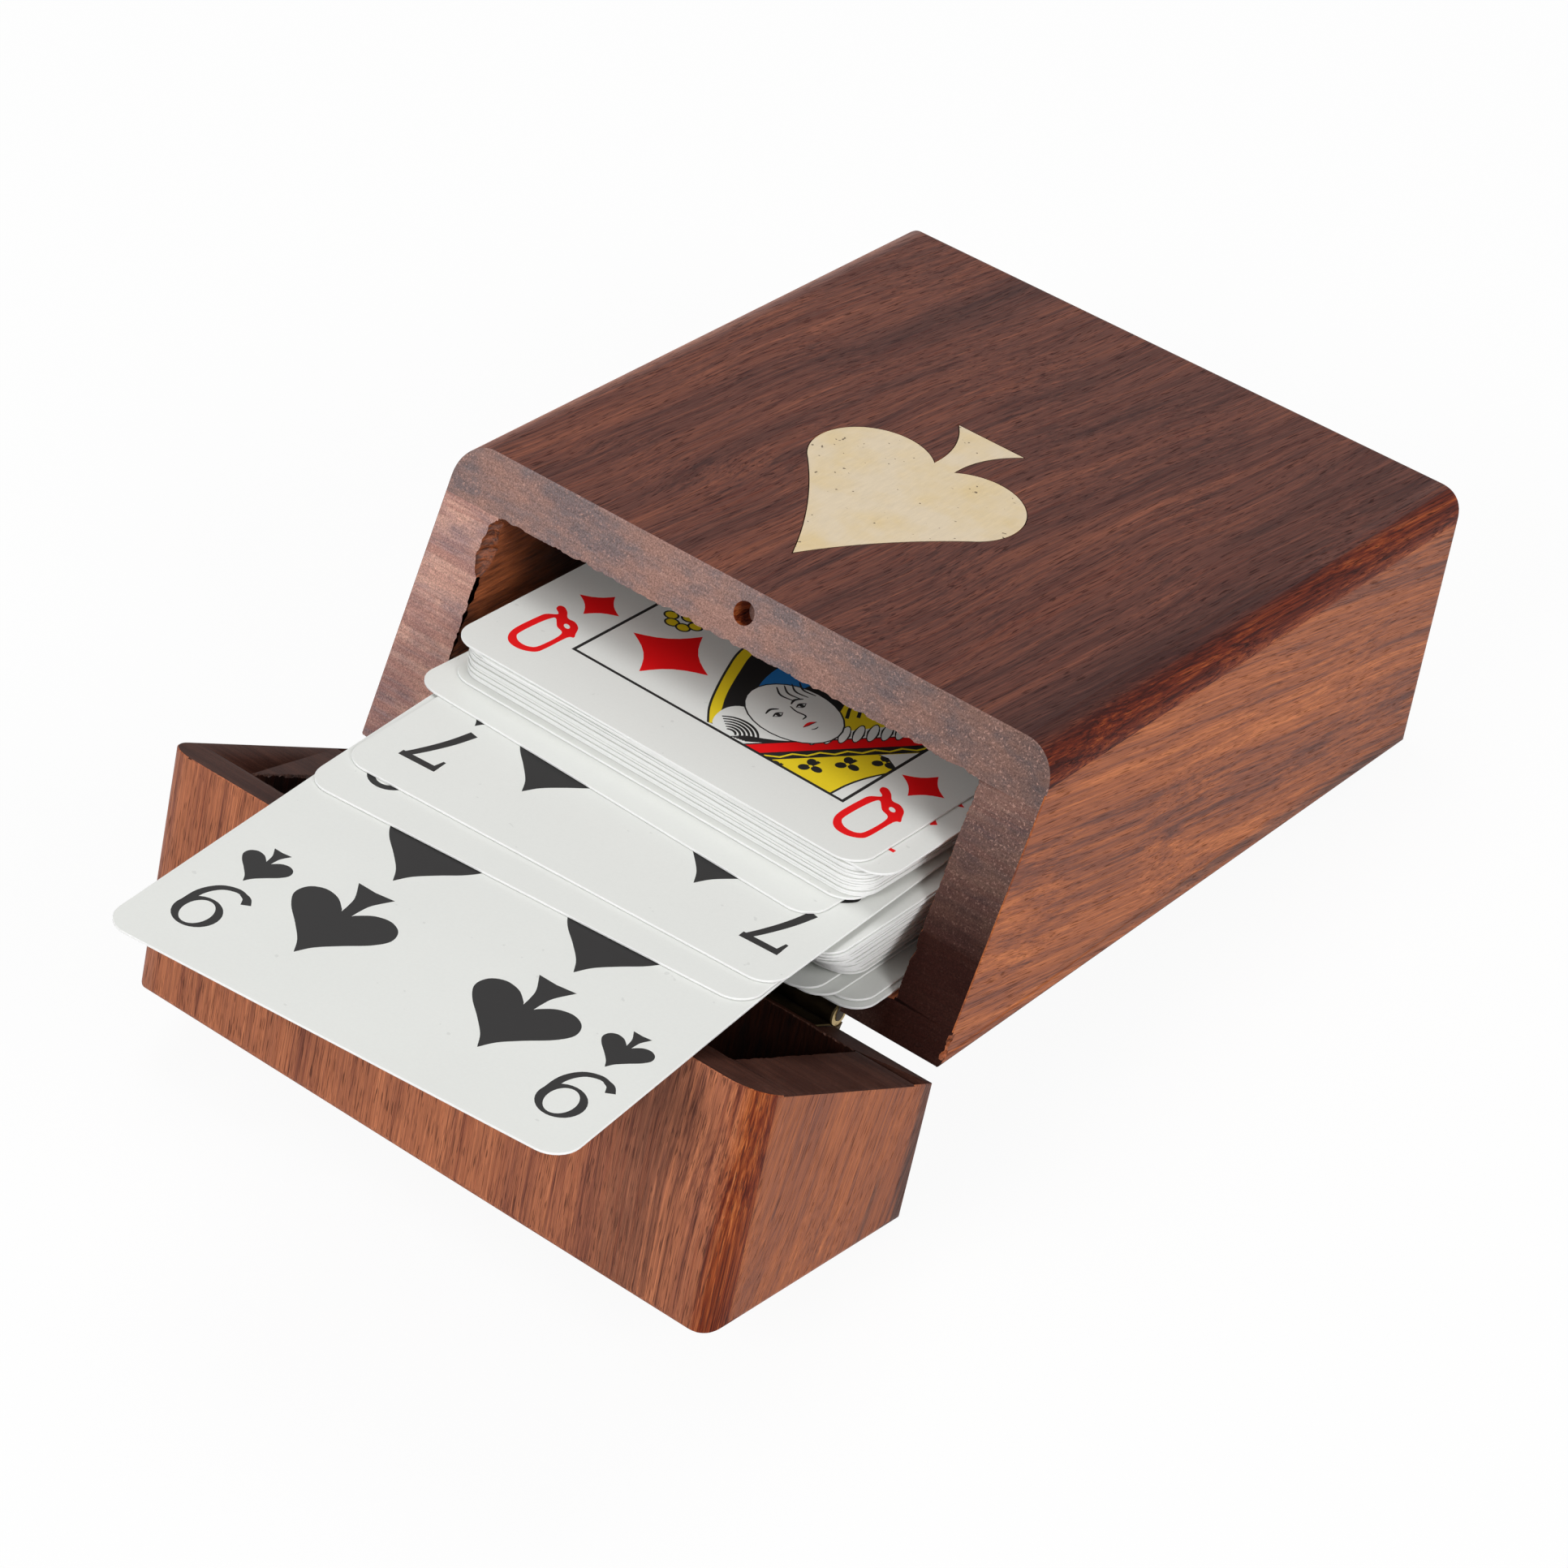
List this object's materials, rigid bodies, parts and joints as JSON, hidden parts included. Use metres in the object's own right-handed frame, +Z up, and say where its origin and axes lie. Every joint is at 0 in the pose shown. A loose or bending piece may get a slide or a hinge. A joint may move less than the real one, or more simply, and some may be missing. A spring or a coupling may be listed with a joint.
{
  "type": "playing card box",
  "caption": "Hinged wooden box for a deck of playing cards, sawn apart on a slant, with a brass spade let into its top, shown open with cards drawn out.",
  "frame": {"origin": "centre of the bounding box's bottom face, on the table", "axes": "+Z up, +Y from the drawn-out cards towards the rear of the box, +X to the right seen from the front. The box rests front end up, on the rear bottom edge of its body and the front bottom edge of its open lid, so its own axes are pitched by 11.5 degrees about X."},
  "size_m": [0.082, 0.1566, 0.0498],
  "materials": {
    "rosewood": "oiled dark rosewood with near-black streaks, satin",
    "rosewood_side": "oiled orange-brown rosewood, satin",
    "inlay_brass": "sanded flush, pale and slightly pitted",
    "hinge_brass": "tarnished",
    "card_stock": "coated white card, printed"
  },
  "bodies": {
    "box": {"top_board": "rosewood", "bottom_board": "rosewood", "left_side_board": "rosewood_side", "right_side_board": "rosewood_side", "rear_block": "rosewood_side", "spade_inlay": "inlay_brass", "hinge_body_leaf": "hinge_brass", "hinge_pin": "hinge_brass", "hinge_body_brads": "hinge_brass"},
    "lid": {"lid_top_board": "rosewood", "lid_bottom_board": "rosewood", "lid_left_side": "rosewood_side", "lid_right_side": "rosewood_side", "lid_end_block": "rosewood_side", "hinge_lid_leaf": "hinge_brass", "hinge_lid_brads": "hinge_brass", "catch_peg": "inlay_brass"},
    "nine": {"nine_of_spades": "card_stock"},
    "eight": {"eight_of_spades": "card_stock"},
    "seven": {"seven_of_spades": "card_stock"},
    "lower_loose_card": {"lower_loose_card": "card_stock"},
    "upper_loose_card": {"upper_loose_card": "card_stock"},
    "upper_packet": {"upper_packet": "card_stock"},
    "jack": {"jack_of_diamonds": "card_stock"},
    "queen": {"queen_of_diamonds": "card_stock"},
    "lower_packet": {"lower_packet": "card_stock"},
    "bottom_card_1": {"bottom_card_1": "card_stock"},
    "bottom_card_2": {"bottom_card_2": "card_stock"},
    "bottom_card_3": {"bottom_card_3": "card_stock"},
    "bottom_card_4": {"bottom_card_4": "card_stock"}
  },
  "joints": [
    {"name": "lid_hinge", "type": "hinge", "parent": "box", "child": "lid", "pos_m": [0, -0.02036, 0.01751], "axis": [1, 0, 0], "range_deg": [0, 94]},
    {"name": "nine_slide", "type": "slide", "parent": "box", "child": "nine", "axis": [0, 0.98, -0.1988], "range_m": [-0.008, 0.044]},
    {"name": "eight_slide", "type": "slide", "parent": "box", "child": "eight", "axis": [0, 0.98, -0.1988], "range_m": [-0.03, 0.0245]},
    {"name": "seven_slide", "type": "slide", "parent": "box", "child": "seven", "axis": [0, 0.98, -0.1988], "range_m": [-0.035, 0.0202]},
    {"name": "lower_loose_card_slide", "type": "slide", "parent": "box", "child": "lower_loose_card", "axis": [0, 0.98, -0.1988], "range_m": [-0.045, 0.0059]},
    {"name": "upper_loose_card_slide", "type": "slide", "parent": "box", "child": "upper_loose_card", "axis": [0, 0.98, -0.1988], "range_m": [-0.05, 0.0021]},
    {"name": "upper_packet_slide", "type": "slide", "parent": "box", "child": "upper_packet", "axis": [0, 0.98, -0.1988], "range_m": [-0.05, 0.0008]},
    {"name": "jack_slide", "type": "slide", "parent": "box", "child": "jack", "axis": [0, 0.98, -0.1988], "range_m": [-0.05, 0.0017]},
    {"name": "queen_slide", "type": "slide", "parent": "box", "child": "queen", "axis": [0, 0.98, -0.1988], "range_m": [-0.05, 0.0017]},
    {"name": "lower_packet_slide", "type": "slide", "parent": "box", "child": "lower_packet", "axis": [0, 0.98, -0.1988], "range_m": [-0.013, 0.0013]},
    {"name": "bottom_card_1_slide", "type": "slide", "parent": "box", "child": "bottom_card_1", "axis": [0, 0.98, -0.1988], "range_m": [-0.018, 0.0038]},
    {"name": "bottom_card_2_slide", "type": "slide", "parent": "box", "child": "bottom_card_2", "axis": [0, 0.98, -0.1988], "range_m": [-0.018, 0.0031]},
    {"name": "bottom_card_3_slide", "type": "slide", "parent": "box", "child": "bottom_card_3", "axis": [0, 0.98, -0.1988], "range_m": [-0.016, 0.0052]},
    {"name": "bottom_card_4_slide", "type": "slide", "parent": "box", "child": "bottom_card_4", "axis": [0, 0.98, -0.1988], "range_m": [-0.015, 0.0055]}
  ]
}
